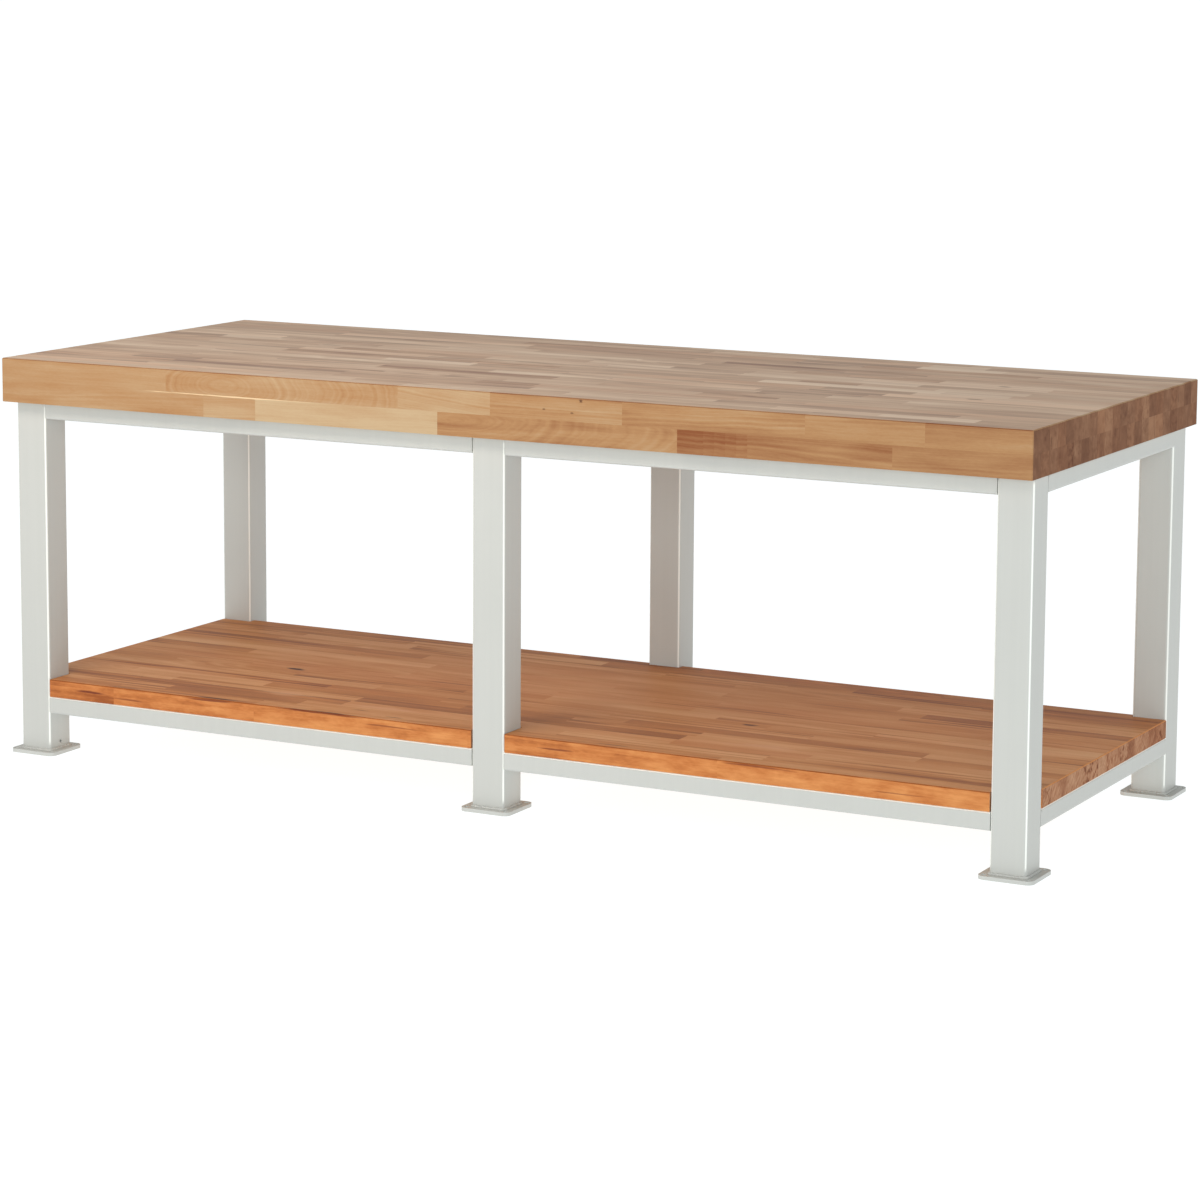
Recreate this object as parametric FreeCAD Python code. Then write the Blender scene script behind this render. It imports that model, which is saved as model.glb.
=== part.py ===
import FreeCAD, Part
import math
import os

# Assembly table: a six-leg welded and bolted steel frame, a thick two-layer beech worktop and a beech storage shelf.
# All sizes in millimetres. +X runs along the table to the right, +Y to the rear, +Z up. The front is -Y.
# The origin lies on the floor, under the middle of the worktop.

# Worktop
worktop_length = 2500.0
worktop_depth = 1000.0
worktop_upper = 50.0           # thickness of the upper glued layer
worktop_lower = 50.0
worktop_edge = 2.0             # chamfer on the upper arrises and on the upright corners
overhang_end = 10.0            # worktop beyond the legs at each end
overhang_front = 40.0          # worktop beyond the legs at the front and at the rear
table_height = 920.0

# Legs
leg_side = 80.0
leg_wall = 4.0
leg_corner = 7.0               # outer corner radius of the tube
drain_diameter = 8.0
drain_height = 16.0            # centre of the drain hole above the base plate

# Base plates
plate_margin = 20.0            # plate beyond the leg, all round
plate_thickness = 8.0
plate_corner = 16.0
anchor_hole = 11.0
anchor_edge = 12.0             # hole centre from the edges of the plate
foot_bead = 5.0                # leg length of the weld round the foot
foot_bead_land = 0.5           # blunt rim at the top of that weld

# Rails
rail_height = 40.0
rail_width = 80.0              # as wide as the legs, so both faces are flush with them
rail_wall = 4.0
rail_corner = 6.0
lower_rail_top = 136.0         # above the floor
weld_gap = 0.3                 # the ground weld stays this far off the rounded leg corner

# Shelf
shelf_thickness = 40.0
shelf_rear_setback = 60.0      # rear edge of the shelf in from the rear faces of the legs
shelf_leg_gap = 1.5            # open joint between the shelf's notches and the legs
shelf_edge = 2.0
notch_corner = 4.0             # inner corner radius of the notches

# Bolted rail joint: a spigot welded to the leg, a bolt from the inner face and a nut welded inside the spigot
spigot_length = 70.0
spigot_wall = 3.0
spigot_gap = 1.0               # rail over spigot, all round
spigot_corner = 2.0            # chamfer that helps the spigot into the rail
bolt_diameter = 8.0
bolt_hole_gap = 0.5            # radial, in the rail and in the spigot
bolt_from_leg = 40.0
bolt_head_across = 13.0
bolt_head_height = 5.3
bolt_point = 3.0               # bolt beyond the nut
washer_diameter = 16.0
washer_thickness = 1.6
nut_across = 13.0
nut_height = 6.5
thread_gap = 0.15              # radial, stands for the thread
fastener_sides = 12            # flats round the shanks, their holes and the washers, which keeps small pieces light

# Lugs and their wood screws
lug_length = 60.0
lug_reach = 40.0               # from the rail into the frame
lug_thickness = 6.0
lug_corner = 12.0
lug_from_rail_end = 250.0      # centre of the lug from the nearer end of its rail
screw_diameter = 8.0
screw_hole_gap = 0.5           # radial, in the lug
screw_pilot_gap = 0.15         # radial, in the wood
screw_head_across = 13.0
screw_head_height = 5.3
screw_tip = 5.0                # length of the pointed end
screw_tip_flat = 1.0           # diameter of the blunt point
worktop_screw_bite = 40.0      # depth in the wood
shelf_screw_bite = 28.0

# Sizes that follow from those above
worktop_thickness = worktop_upper + worktop_lower
frame_top = table_height - worktop_thickness
frame_length = worktop_length - 2 * overhang_end
frame_depth = worktop_depth - 2 * overhang_front
leg_x = frame_length / 2 - leg_side / 2
leg_y = frame_depth / 2 - leg_side / 2
plate_side = leg_side + 2 * plate_margin
long_rail_length = leg_x - leg_side
cross_rail_length = frame_depth - 2 * leg_side
shelf_bottom = lower_rail_top
shelf_top = shelf_bottom + shelf_thickness
shelf_front = -frame_depth / 2
shelf_rear = frame_depth / 2 - shelf_rear_setback

columns = {"left": -leg_x, "middle": 0.0, "right": leg_x}
rows = {"front": -leg_y, "rear": leg_y}
bays = {"left": -leg_x / 2, "right": leg_x / 2}
levels = {"upper": frame_top, "lower": lower_rail_top}
tolerance = 0.01               # for telling edges apart by their place


def vector(x, y, z):
    return FreeCAD.Vector(x, y, z)


def upright_edges(shape, length):
    return [edge for edge in shape.Edges if abs(edge.BoundBox.ZLength - length) < tolerance]


def plain_bar(size_x, size_y, height):
    """An upright rectangular bar, centred on the z axis, standing on z = 0."""
    return Part.makeBox(size_x, size_y, height, vector(-size_x / 2, -size_y / 2, 0))


def rounded_bar(size_x, size_y, height, corner):
    bar = plain_bar(size_x, size_y, height)
    return bar.makeFillet(corner, upright_edges(bar, height))


def square_tube(size_x, size_y, height, corner, wall):
    """An upright hollow section with rounded outer corners, centred on the z axis, standing on z = 0."""
    return rounded_bar(size_x, size_y, height, corner).cut(plain_bar(size_x - 2 * wall, size_y - 2 * wall, height))


def along_x(shape):
    """Lays an upright bar down: its height runs along +X and its size_x stands upright."""
    return shape.rotated(vector(0, 0, 0), vector(0, 1, 0), 90)


def along_y(shape):
    """Lays an upright bar down: its height runs along +Y and its size_y stands upright."""
    return shape.rotated(vector(0, 0, 0), vector(1, 0, 0), -90)


def polygon(sides, across_flats, height):
    """A level regular polygon round the z axis, two of its flats facing +X and -X."""
    radius = across_flats / 2 / math.cos(math.pi / sides)
    turns = [2 * math.pi * (corner + 0.5) / sides for corner in range(sides + 1)]
    return Part.makePolygon([vector(radius * math.cos(turn), radius * math.sin(turn), height) for turn in turns])


def prism(sides, across_flats, height):
    """An upright regular prism on z = 0."""
    return Part.Face(polygon(sides, across_flats, 0)).extrude(vector(0, 0, height))


def cross_hole(diameter, length, centre, direction):
    """A round drill through centre, half of its length to each side."""
    start = centre - direction * (length / 2)
    return Part.makeCylinder(diameter / 2, length, start, direction)


def turned_outward(shape, seat, out):
    """Moves an upright piece so that its z axis points along out and its origin lies on seat."""
    placed = shape.copy()
    placed.Placement = FreeCAD.Placement(seat, FreeCAD.Rotation(vector(0, 0, 1), out)) * shape.Placement
    return placed


def fastener_hole(diameter, length, centre, direction):
    """A clearance hole for a bolt or screw, half of its length to each side of centre."""
    drill = prism(fastener_sides, diameter, length).translated(vector(0, 0, -length / 2))
    return turned_outward(drill, centre, direction)


# Legs, base plates and the welds at the feet


def leg(column, row):
    x = columns[column]
    y = rows[row]
    tube = square_tube(leg_side, leg_side, frame_top - plate_thickness, leg_corner, leg_wall)
    inward = vector(0, bolt_side(row), 0) if column == "middle" else vector(-x / leg_x, 0, 0)
    wall_centre = inward * ((leg_side - leg_wall) / 2) + vector(0, 0, drain_height)
    drain = cross_hole(drain_diameter, 3 * leg_wall, wall_centre, inward)
    return tube.cut(drain).translated(vector(x, y, plate_thickness))


def base_plate(column, row):
    plate = rounded_bar(plate_side, plate_side, plate_thickness, plate_corner)
    reach = plate_side / 2 - anchor_edge
    for side_x in (-1, 1):
        for side_y in (-1, 1):
            centre = vector(side_x * reach, side_y * reach, plate_thickness / 2)
            plate = plate.cut(cross_hole(anchor_hole, 3 * plate_thickness, centre, vector(0, 0, 1)))
    return plate.translated(vector(columns[column], rows[row], 0))


def foot_outline(beyond, height):
    """The rounded outline of a leg, made wider all round, at one height."""
    wide = leg_side + 2 * beyond
    bar = rounded_bar(wide, wide, foot_bead, leg_corner + beyond)
    lower_face = min(bar.Faces, key=lambda face: face.BoundBox.ZMax)
    return lower_face.OuterWire.translated(vector(0, 0, height))


def foot_weld(column, row):
    """A fillet weld that runs once round the leg on top of its base plate."""
    bead = Part.makeLoft([foot_outline(foot_bead, 0), foot_outline(foot_bead_land, foot_bead)], True, True)
    bead = bead.cut(rounded_bar(leg_side, leg_side, foot_bead, leg_corner))
    return bead.translated(vector(columns[column], rows[row], plate_thickness))


# Rails


def bolt_side(row):
    """+1 where the inner face of a long rail looks to +Y, -1 where it looks to -Y."""
    return 1 if row == "front" else -1


def long_rail_y(row):
    """Middle of a long rail, whose outer face is flush with the legs."""
    return rows[row] - bolt_side(row) * (leg_side - rail_width) / 2


def rail_ends(bay):
    """The two ends of a long rail: x of the leg's face and the direction into the rail."""
    middle = bays[bay]
    return [(middle - long_rail_length / 2, 1), (middle + long_rail_length / 2, -1)]


def joint_bolt_axes(level, row, bay):
    """Points on the rail's inner face, under the bolt heads, and the direction out of the rail."""
    out = bolt_side(row)
    y = long_rail_y(row) + out * rail_width / 2
    z = levels[level] - rail_height / 2
    return [(vector(x + into * bolt_from_leg, y, z), vector(0, out, 0)) for x, into in rail_ends(bay)]


def long_rail(level, row, bay):
    tube = along_x(square_tube(rail_height, rail_width, long_rail_length, rail_corner, rail_wall))
    start = vector(bays[bay] - long_rail_length / 2, long_rail_y(row), levels[level] - rail_height / 2)
    rail = tube.translated(start)
    for seat, out in joint_bolt_axes(level, row, bay):
        hole = fastener_hole(bolt_diameter + 2 * bolt_hole_gap, 2 * rail_wall + 2 * spigot_gap, seat, out)
        rail = rail.cut(hole)
    return rail


def cross_rail_x(column):
    """Middle of a cross rail: flush with the outer leg faces at the ends, centred in the middle frame."""
    side = (columns[column] > 0) - (columns[column] < 0)
    return columns[column] + side * (leg_side - rail_width) / 2


def cross_rail(level, column):
    tube = along_y(square_tube(rail_width, rail_height, cross_rail_length, rail_corner, rail_wall))
    start = vector(cross_rail_x(column), -cross_rail_length / 2, levels[level] - rail_height / 2)
    return tube.translated(start)


def cross_rail_weld(level, column, row):
    """Fills the hollow between a rounded leg corner and the outer face of an end cross rail, ground flush."""
    side = 1 if columns[column] > 0 else -1
    inward = bolt_side(row)
    face_x = columns[column] + side * leg_side / 2
    face_y = rows[row] + inward * leg_side / 2
    centre_x = face_x - side * leg_corner
    centre_y = face_y - inward * leg_corner
    radius = leg_corner + weld_gap
    rise = math.sqrt(radius ** 2 - leg_corner ** 2)
    diagonal = radius / math.sqrt(2)
    on_side = vector(face_x, centre_y + inward * rise, 0)
    on_corner = vector(centre_x + side * diagonal, centre_y + inward * diagonal, 0)
    on_end = vector(centre_x + side * rise, face_y, 0)
    corner = vector(face_x, face_y, 0)
    outline = [
        Part.Arc(on_side, on_corner, on_end).toShape(),
        Part.LineSegment(on_end, corner).toShape(),
        Part.LineSegment(corner, on_side).toShape(),
    ]
    height = rail_height - 2 * rail_corner
    fill = Part.Face(Part.Wire(outline)).extrude(vector(0, 0, height))
    return fill.translated(vector(0, 0, levels[level] - rail_height + rail_corner))


# The bolted joint at each end of a long rail


def spigot(level, row, x, into):
    size_z = rail_height - 2 * rail_wall - 2 * spigot_gap
    size_y = rail_width - 2 * rail_wall - 2 * spigot_gap
    tube = plain_bar(size_z, size_y, spigot_length)
    tube = tube.makeChamfer(spigot_corner, upright_edges(tube, spigot_length))
    tube = tube.cut(plain_bar(size_z - 2 * spigot_wall, size_y - 2 * spigot_wall, spigot_length))
    start_x = x if into > 0 else x - spigot_length
    tube = along_x(tube).translated(vector(start_x, long_rail_y(row), levels[level] - rail_height / 2))
    out = vector(0, bolt_side(row), 0)
    seat = vector(x + into * bolt_from_leg, long_rail_y(row), levels[level] - rail_height / 2) + out * size_y / 2
    return tube.cut(fastener_hole(bolt_diameter + 2 * bolt_hole_gap, 3 * spigot_wall, seat, out))


def washer(seat, out):
    disc = prism(fastener_sides, washer_diameter, washer_thickness)
    hole = prism(fastener_sides, bolt_diameter + 2 * bolt_hole_gap, washer_thickness)
    return turned_outward(disc.cut(hole), seat, out)


def spigot_nut_depth():
    """From the rail's inner face in to the welded nut."""
    return rail_wall + spigot_gap + spigot_wall


def rail_bolt(seat, out):
    head = prism(6, bolt_head_across, bolt_head_height).translated(vector(0, 0, washer_thickness))
    shank_length = washer_thickness + spigot_nut_depth() + nut_height + bolt_point
    shank = prism(fastener_sides, bolt_diameter, shank_length)
    shank = shank.translated(vector(0, 0, washer_thickness - shank_length))
    return turned_outward(head.fuse(shank).removeSplitter(), seat, out)


def rail_nut(seat, out):
    body = prism(6, nut_across, nut_height)
    bore = prism(fastener_sides, bolt_diameter + 2 * thread_gap, nut_height)
    lowered = body.cut(bore).translated(vector(0, 0, -spigot_nut_depth() - nut_height))
    return turned_outward(lowered, seat, out)


# Lugs and wood screws


def lug_places():
    """For each lug of one level: the middle of its welded edge in plan, and the direction into the frame."""
    places = []
    for row in rows:
        into = bolt_side(row)
        y = long_rail_y(row) + into * rail_width / 2
        for middle in bays.values():
            for side in (-1, 1):
                places.append((middle + side * (long_rail_length / 2 - lug_from_rail_end), y, into))
    return places


def screw_axis(level, place):
    """A point on the lug's top face, on the screw's axis."""
    x, y, into = place
    return vector(x, y + into * lug_reach / 2, levels[level])


def lug(level, place):
    x, y, into = place
    plate = Part.makeBox(lug_length, lug_reach, lug_thickness, vector(-lug_length / 2, 0, -lug_thickness))
    outer = [edge for edge in upright_edges(plate, lug_thickness) if edge.BoundBox.YMin > lug_reach / 2]
    plate = plate.makeChamfer(lug_corner, outer)
    if into < 0:
        plate = plate.rotated(vector(0, 0, 0), vector(0, 0, 1), 180)
    plate = plate.translated(vector(x, y, levels[level]))
    drill = screw_diameter + 2 * screw_hole_gap
    return plate.cut(fastener_hole(drill, 3 * lug_thickness, screw_axis(level, place), vector(0, 0, 1)))


def pointed_pin(across, bite):
    """An upright pin from z = 0 to bite with a pointed upper end."""
    straight = bite - screw_tip
    shoulder = polygon(fastener_sides, across, straight)
    point = polygon(fastener_sides, screw_tip_flat, bite)
    tip = Part.makeLoft([shoulder, point], True, True)
    return prism(fastener_sides, across, straight).fuse(tip)


def wood_screw(level, bite, place):
    head_top = -lug_thickness
    head = prism(6, screw_head_across, screw_head_height).translated(vector(0, 0, head_top - screw_head_height))
    neck = prism(fastener_sides, screw_diameter, lug_thickness).translated(vector(0, 0, head_top))
    screw = head.fuse(neck).fuse(pointed_pin(screw_diameter, bite)).removeSplitter()
    return screw.translated(screw_axis(level, place))


def drill_pilots(board, level, bite):
    """Drills the wood for the screws that come up through the lugs of one level."""
    for place in lug_places():
        pilot = pointed_pin(screw_diameter + 2 * screw_pilot_gap, bite + screw_pilot_gap)
        board = board.cut(pilot.translated(screw_axis(level, place)))
    return board


# Wooden boards


def board(length, depth, thickness, bottom):
    return Part.makeBox(length, depth, thickness, vector(-length / 2, -depth / 2, bottom))


def edges_on_top(shape, height):
    return [edge for edge in shape.Edges if edge.BoundBox.ZMin > height - tolerance]


def worktop_slab():
    """The whole worktop, with its upright corners and upper arrises eased and its pilot holes drilled."""
    slab = board(worktop_length, worktop_depth, worktop_thickness, frame_top)
    slab = slab.makeChamfer(worktop_edge, upright_edges(slab, worktop_thickness))
    slab = slab.makeChamfer(worktop_edge, edges_on_top(slab, table_height))
    return drill_pilots(slab, "upper", worktop_screw_bite)


def worktop_lower_layer():
    return worktop_slab().common(board(worktop_length, worktop_depth, worktop_lower, frame_top))


def worktop_upper_layer():
    glue_line = frame_top + worktop_lower
    return worktop_slab().common(board(worktop_length, worktop_depth, worktop_upper, glue_line))


def leg_notch(x, y):
    """A cutter for the shelf round one leg, open to the rim of the shelf."""
    half = leg_side / 2 + shelf_leg_gap
    past_rim = leg_side
    min_x = x - half - (past_rim if x < 0 else 0)
    max_x = x + half + (past_rim if x > 0 else 0)
    min_y = y - half - (past_rim if y < 0 else 0)
    max_y = y + half + (past_rim if y > 0 else 0)
    cutter = rounded_bar(max_x - min_x, max_y - min_y, 3 * shelf_thickness, notch_corner)
    return cutter.translated(vector((min_x + max_x) / 2, (min_y + max_y) / 2, shelf_bottom - shelf_thickness))


def shelf_board():
    """Lies on the lower rails, flush with the frame at the front and ends, and notched round the legs."""
    corner = vector(-frame_length / 2, shelf_front, shelf_bottom)
    shelf = Part.makeBox(frame_length, shelf_rear - shelf_front, shelf_thickness, corner)
    for x in columns.values():
        for y in rows.values():
            shelf = shelf.cut(leg_notch(x, y))
    outer = [edge for edge in edges_on_top(shelf, shelf_top) if on_rim(edge)]
    shelf = shelf.makeChamfer(shelf_edge, outer)
    return drill_pilots(shelf, "lower", shelf_screw_bite)


def on_rim(edge):
    """True for an edge that lies along the front, rear or end of the shelf."""
    box = edge.BoundBox
    along_end = box.XLength < tolerance and abs(abs(box.XMin) - frame_length / 2) < tolerance
    on_front = abs(box.YMin - shelf_front) < tolerance
    on_rear = abs(box.YMin - shelf_rear) < tolerance
    return along_end or (box.YLength < tolerance and (on_front or on_rear))


def build():
    """Every node of the table by name."""
    nodes = {
        "worktop_upper_layer": worktop_upper_layer(),
        "worktop_lower_layer": worktop_lower_layer(),
        "shelf_board": shelf_board(),
    }
    for column in columns:
        for row in rows:
            nodes[f"leg_{row}_{column}"] = leg(column, row)
            nodes[f"base_plate_{row}_{column}"] = base_plate(column, row)
    for level in levels:
        for column in columns:
            nodes[f"{level}_cross_rail_{column}"] = cross_rail(level, column)
        for row in rows:
            for bay in bays:
                nodes[f"{level}_rail_{row}_{bay}"] = long_rail(level, row, bay)

    rail_places = [(level, row, bay) for level in levels for row in rows for bay in bays]
    bolt_seats = [axis for place in rail_places for axis in joint_bolt_axes(*place)]
    spigots = [spigot(level, row, x, into) for level, row, bay in rail_places for x, into in rail_ends(bay)]
    end_columns = [column for column in columns if column != "middle"]
    corners = [(level, column, row) for level in levels for column in end_columns for row in rows]
    nodes["foot_welds"] = Part.makeCompound([foot_weld(column, row) for column in columns for row in rows])
    nodes["cross_rail_welds"] = Part.makeCompound([cross_rail_weld(*corner) for corner in corners])
    nodes["rail_spigots"] = Part.makeCompound(spigots)
    nodes["rail_bolts"] = Part.makeCompound([rail_bolt(seat, out) for seat, out in bolt_seats])
    nodes["rail_washers"] = Part.makeCompound([washer(seat, out) for seat, out in bolt_seats])
    nodes["rail_nuts"] = Part.makeCompound([rail_nut(seat, out) for seat, out in bolt_seats])
    for board_name, level, bite in (("worktop", "upper", worktop_screw_bite), ("shelf", "lower", shelf_screw_bite)):
        lugs = [lug(level, place) for place in lug_places()]
        screws = [wood_screw(level, bite, place) for place in lug_places()]
        nodes[f"{board_name}_lugs"] = Part.makeCompound(lugs)
        nodes[f"{board_name}_screws"] = Part.makeCompound(screws)
    return nodes


os.makedirs("parts", exist_ok=True)
for name, shape in build().items():
    shape.exportStep(f"parts/{name}.step")
    print(name, len(shape.Solids), round(shape.Volume / 1000, 1), "cm3", shape.isValid())
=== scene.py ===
"""Looks of a six-leg assembly table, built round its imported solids.

The steel frame keeps its solids and gets a powder coat. The three boards are made again as glued beech
staves, the welds at the feet as laid beads, and the bolts, washers and screws as forged and turned pieces.
Lengths are metres. +X runs along the table to the right, +Y to the rear, +Z up.
"""

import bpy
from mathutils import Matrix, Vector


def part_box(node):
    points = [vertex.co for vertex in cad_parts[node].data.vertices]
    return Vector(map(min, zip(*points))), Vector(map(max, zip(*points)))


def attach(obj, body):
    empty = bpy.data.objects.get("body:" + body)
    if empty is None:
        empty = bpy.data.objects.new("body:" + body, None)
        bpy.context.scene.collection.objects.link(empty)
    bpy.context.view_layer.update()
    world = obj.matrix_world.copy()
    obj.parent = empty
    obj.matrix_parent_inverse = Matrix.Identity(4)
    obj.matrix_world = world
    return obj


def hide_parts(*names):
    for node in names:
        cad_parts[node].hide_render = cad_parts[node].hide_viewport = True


bl_info = {
    "name": "Assembly table",
    "version": (1, 0, 0),
    "blender": (4, 5, 0),
    "location": "View3D > Sidebar > Assembly table",
    "description": "Glued beech staves, powder coated steel and fasteners for an assembly table",
    "category": "Object",
}

import math
import random
from bisect import bisect_right
from itertools import product

import bmesh
import bpy
from mathutils import Matrix, Vector

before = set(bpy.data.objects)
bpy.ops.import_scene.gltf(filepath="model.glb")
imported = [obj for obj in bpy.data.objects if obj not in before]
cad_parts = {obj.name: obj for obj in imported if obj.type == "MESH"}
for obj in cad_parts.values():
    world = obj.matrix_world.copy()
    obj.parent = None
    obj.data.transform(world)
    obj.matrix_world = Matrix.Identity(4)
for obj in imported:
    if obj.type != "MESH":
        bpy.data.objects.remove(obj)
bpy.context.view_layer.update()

COLUMNS = ("left", "middle", "right")
ROWS = ("front", "rear")
BAYS = ("left", "right")
LEVELS = ("upper", "lower")
MM = 0.001

# Sizes that the bolts, washers and screws share
HEAD_ACROSS, HEAD_HEIGHT = 13 * MM, 5.3 * MM
SHANK_RADIUS = 4 * MM
WASHER_THICKNESS = 1.6 * MM

# Planes of the boards' faces, on which the marks in the wood lie. The glue line shows just under the joint.
UPPER_LAYER_LOW, UPPER_LAYER_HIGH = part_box("worktop_upper_layer")
TOP, FRONT, END = UPPER_LAYER_HIGH.z, UPPER_LAYER_LOW.y, UPPER_LAYER_HIGH.x
GLUE_LINE = UPPER_LAYER_LOW.z - 1.2 * MM
SHELF_LOW, SHELF_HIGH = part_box("shelf_board")
SHELF_TOP, SHELF_FRONT = SHELF_HIGH.z, SHELF_LOW.y

# Marks in the wood: centre, half axes and strength. The half axis across the face reaches THROUGH it.
THROUGH = 0.05
TOP_MARKS = [
    ((0.937, 0.142, TOP), (0.016, 0.008, THROUGH), 0.75),
    ((0.964, -0.096, TOP), (0.022, 0.007, THROUGH), 0.6),
    ((-0.060, 0.164, TOP), (0.040, 0.005, THROUGH), 0.6),
    ((-0.016, -0.119, TOP), (0.050, 0.005, THROUGH), 0.5),
    ((0.530, -0.283, TOP), (0.022, 0.005, THROUGH), 0.6),
    ((-0.615, 0.294, TOP), (0.050, 0.007, THROUGH), 0.4),
    ((-0.752, 0.109, TOP), (0.030, 0.006, THROUGH), 0.4),
]
EDGE_KNOTS = [
    ((0.245, FRONT, 0.914), (0.006, THROUGH, 0.003), 0.9),
    ((0.157, FRONT, 0.892), (0.004, THROUGH, 0.002), 0.6),
    ((0.224, FRONT, 0.888), (0.004, THROUGH, 0.002), 0.6),
]
EDGE_PALE_LINES = [((-0.60, FRONT, GLUE_LINE), (0.22, THROUGH, 0.0016), 0.8)]
END_CHECK_PLACES = (
    (-0.33, 0.900),
    (-0.09, 0.902),
    (0.05, 0.862),
    (0.16, 0.905),
    (0.22, 0.834),
    (-0.40, 0.885),
    (0.37, 0.890),
)
END_CHECKS = [((END, y, z), (THROUGH, 0.0022, 0.016), 0.45) for y, z in END_CHECK_PLACES]
SHELF_KNOTS = [
    ((-0.732, -0.078, SHELF_TOP), (0.024, 0.009, THROUGH), 0.95),
    ((0.462, -0.117, SHELF_TOP), (0.020, 0.008, THROUGH), 0.9),
    ((-0.42, -0.456, SHELF_TOP), (0.100, 0.004, THROUGH), 0.8),
    ((-0.70, -0.450, SHELF_TOP), (0.060, 0.006, THROUGH), 0.8),
    ((-0.36, -0.400, SHELF_TOP), (0.030, 0.003, THROUGH), 0.7),
    ((-0.25, -0.430, SHELF_TOP), (0.020, 0.003, THROUGH), 0.7),
    ((-0.95, -0.452, SHELF_TOP), (0.050, 0.004, THROUGH), 0.6),
    ((0.30, -0.440, SHELF_TOP), (0.040, 0.003, THROUGH), 0.6),
]
SHELF_PALE_SPOTS = [
    ((-0.60, -0.33, SHELF_TOP), (0.070, 0.022, THROUGH), 0.45),
    ((-0.32, -0.36, SHELF_TOP), (0.100, 0.016, THROUGH), 0.4),
    ((0.60, -0.30, SHELF_TOP), (0.090, 0.020, THROUGH), 0.35),
]
SHELF_EDGE_FLECKS = [
    ((-1.045, SHELF_FRONT, 0.158), (0.050, THROUGH, 0.0032), 0.9),
    ((-0.945, SHELF_FRONT, 0.150), (0.045, THROUGH, 0.0022), 0.6),
    ((-0.720, SHELF_FRONT, 0.172), (0.060, THROUGH, 0.0030), 0.8),
    ((-0.430, SHELF_FRONT, 0.174), (0.110, THROUGH, 0.0026), 0.8),
    ((-0.250, SHELF_FRONT, 0.162), (0.070, THROUGH, 0.0020), 0.6),
    ((0.168, SHELF_FRONT, 0.155), (0.040, THROUGH, 0.0026), 0.7),
    ((0.620, SHELF_FRONT, 0.171), (0.080, THROUGH, 0.0022), 0.6),
    ((0.950, SHELF_FRONT, 0.150), (0.060, THROUGH, 0.0018), 0.5),
]

# Staves of the front rows: where each ends, and what its grain looks like. The last one runs to the end of
# its board.
QUIET = {"red": 0.0, "heart": 0.15}
UPPER_FRONT_ROW = [
    (-0.80, {**QUIET, "tone": 0.56, "figure": 0.4}),
    (-0.20, {**QUIET, "tone": 0.56, "figure": 0.75, "red": 0.04, "pith": (0, 0.03, 0), "lean": (0, 0.36, 0)}),
    (0.027, {**QUIET, "tone": 0.63, "figure": 0.8, "pith": (0, 0, 0.4), "lean": (0, 0, -0.1)}),
    (0.342, {**QUIET, "tone": 0.48, "figure": 0.8, "heart": 0.5}),
    (0.759, {**QUIET, "tone": 0.39, "figure": 0.8, "heart": 0.3}),
    (1.021, {**QUIET, "tone": 0.33, "figure": 0.5}),
    (END, {**QUIET, "tone": 0.33, "figure": 0.5}),
]
# The rings of this stave cross the edge at a slant, so they show as long arches
ARCHED = {**QUIET, "figure": 0.75, "pith": (0, 0.03, 0.01), "lean": (0, 0.22, 0)}
# The short dark stave fades towards its right end, so it is laid in slices of one grain
FADING = {**QUIET, "red": 0.08, "figure": 0.8, "shift": (2.0, 5.0, 1.0), "pith": (0, 0.015, -0.04)}
LOWER_FRONT_ROW = [
    (-0.70, {**QUIET, "tone": 0.50, "figure": 0.4}),
    (-0.564, {**QUIET, "tone": 0.60, "figure": 0.6}),
    (-0.102, {**QUIET, "tone": 0.84, "figure": 0.5}),
    (0.470, {**ARCHED, "tone": 0.40, "heart": 0.5}),
    (0.530, {**FADING, "tone": 0.02}),
    (0.555, {**FADING, "tone": 0.06}),
    (0.580, {**FADING, "tone": 0.10}),
    (0.605, {**FADING, "tone": 0.15}),
    (0.630, {**FADING, "tone": 0.20}),
    (0.951, {**FADING, "tone": 0.26, "red": 0.04}),
    (END, {**QUIET, "tone": 0.33, "figure": 0.5}),
]
SHELF_FRONT_ROW = [
    (-0.98, {"tone": 0.36, "figure": 0.8, "red": 0.12, "heart": 0.8}),
    (-0.60, {"tone": 0.44, "figure": 0.8, "red": 0.06, "heart": 0.6}),
    (-0.05, {"tone": 0.54, "figure": 0.8, "red": 0.0, "heart": 0.3}),
    (0.55, {"tone": 0.44, "figure": 0.8, "red": 0.04, "heart": 0.5}),
    (END, {"tone": 0.57, "figure": 0.8, "red": 0.0, "heart": 0.2}),
]

# What each stave carries to its material
STAVE_NUMBERS = ("tone", "red", "figure", "heart")
STAVE_VECTORS = ("shift", "pith", "lean")


def linear(hex_colour):
    """An sRGB hex colour as three linear numbers."""
    values = [int(hex_colour[start : start + 2], 16) / 255 for start in (1, 3, 5)]
    return tuple(v / 12.92 if v <= 0.04045 else ((v + 0.055) / 1.055) ** 2.4 for v in values)


def rgba(colour):
    """A linear colour with the fourth number that a node asks for."""
    return (*colour, 1.0)


# Sizes and colours that a user may change


def colour_property(name, description, hex_colour):
    """A colour, kept linear."""
    return bpy.props.FloatVectorProperty(
        name=name, description=description, subtype="COLOR", size=3, min=0, max=1, default=linear(hex_colour)
    )


def length_property(name, description, default):
    """A length in metres."""
    return bpy.props.FloatProperty(
        name=name, description=description, subtype="DISTANCE", unit="LENGTH", min=0.0001, default=default
    )


def power_property(name, description, default):
    """The power of a light in watts."""
    return bpy.props.FloatProperty(name=name, description=description, unit="POWER", min=0, default=default)


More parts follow.
